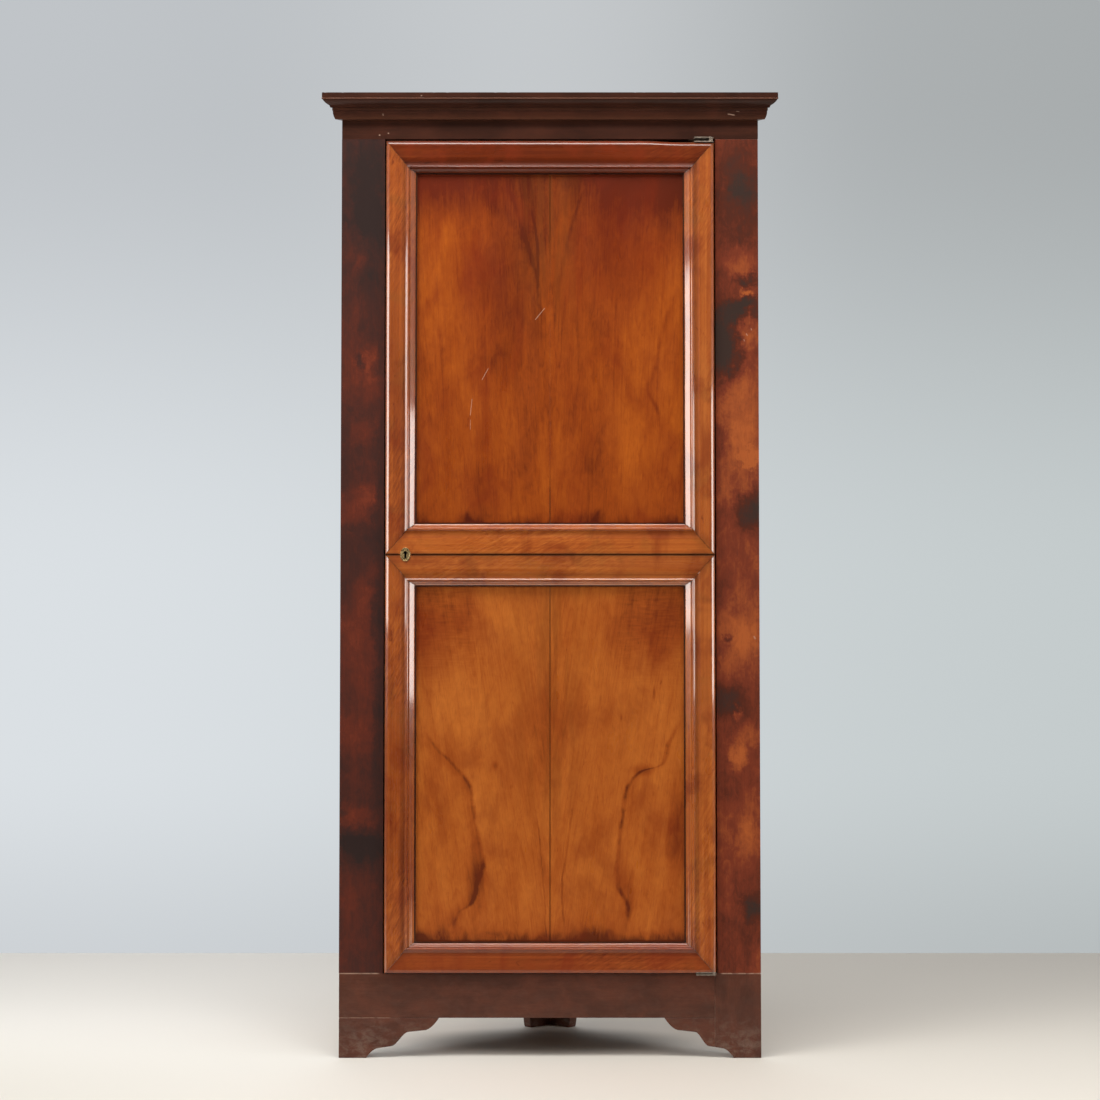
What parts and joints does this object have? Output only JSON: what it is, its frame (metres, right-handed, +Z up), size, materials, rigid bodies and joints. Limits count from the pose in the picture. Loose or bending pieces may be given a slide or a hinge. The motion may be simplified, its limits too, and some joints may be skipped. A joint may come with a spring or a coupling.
{
  "type": "corner cabinet",
  "caption": "Tall triangular walnut corner cabinet with a moulded cornice, bracket feet and one long framed door of book-matched panels.",
  "frame": {"origin": "on the floor, under the middle of the cabinet's overall box", "axes": "+Z up; -Y is the way the front looks; +X is the viewer's right, the hinge side of the door; the two walls meet behind at a right angle"},
  "size_m": [0.951, 0.4755, 2],
  "materials": {
    "stile_wood": "dark French-polished walnut",
    "cornice_wood": "very dark polished walnut",
    "base_wood": "brown polished walnut, rubbed along its joints",
    "moulding_wood": "warm brown polished walnut",
    "panel_wood": "book-matched orange-brown polished walnut veneer",
    "door_wood": "plain walnut",
    "pine": "bare aged pine",
    "escutcheon_brass": "polished, a little tarnished",
    "hinge_iron": "dull wrought iron",
    "lock_steel": "filed steel"
  },
  "bodies": {
    "carcass": {"left_stile": "stile_wood", "right_stile": "stile_wood", "frieze_rail": "cornice_wood", "base_rail": "base_wood", "right_corner_block": "base_wood", "left_foot_bracket": "base_wood", "right_foot_bracket": "base_wood", "foot_glue_blocks": "pine", "back_foot_left_wing": "base_wood", "back_foot_right_wing": "base_wood", "left_wall_boards": "pine", "right_wall_boards": "pine", "back_post": "pine", "top_boards": "pine", "floor_board": "pine", "lower_shelf": "pine", "middle_shelf": "pine", "upper_shelf": "pine", "left_battens": "pine", "right_battens": "pine", "cornice_crown": "cornice_wood", "cornice_bed": "cornice_wood", "door_stop": "pine", "top_frame_leaf": "hinge_iron", "bottom_frame_leaf": "hinge_iron", "frame_leaf_screws": "hinge_iron", "lock_keep": "lock_steel", "keep_screws": "lock_steel"},
    "door": {"door_lock_stile": "door_wood", "door_hinge_stile": "door_wood", "door_top_rail": "door_wood", "door_middle_rail": "door_wood", "door_bottom_rail": "door_wood", "upper_left_panel": "panel_wood", "upper_right_panel": "panel_wood", "lower_left_panel": "panel_wood", "lower_right_panel": "panel_wood", "upper_left_moulding": "moulding_wood", "upper_right_moulding": "moulding_wood", "upper_top_moulding": "moulding_wood", "upper_bottom_moulding": "moulding_wood", "lower_left_moulding": "moulding_wood", "lower_right_moulding": "moulding_wood", "lower_top_moulding": "moulding_wood", "lower_bottom_moulding": "moulding_wood", "top_door_leaf": "hinge_iron", "bottom_door_leaf": "hinge_iron", "door_leaf_screws": "hinge_iron", "lock_case": "lock_steel", "lock_cap": "lock_steel", "lock_screws": "lock_steel", "keyhole_escutcheon": "escutcheon_brass"},
    "bolt": {"lock_bolt": "lock_steel", "bolt_spring": "lock_steel"}
  },
  "joints": [
    {"name": "door_swing", "type": "hinge", "parent": "carcass", "child": "door", "pos_m": [0.3365, -0.20625, 1.0395], "axis": [0, 0, 1], "range_deg": [0, 135]},
    {"name": "bolt_throw", "type": "slide", "parent": "door", "child": "bolt", "axis": [-1, 0, 0], "range_m": [0, 0.01]}
  ]
}
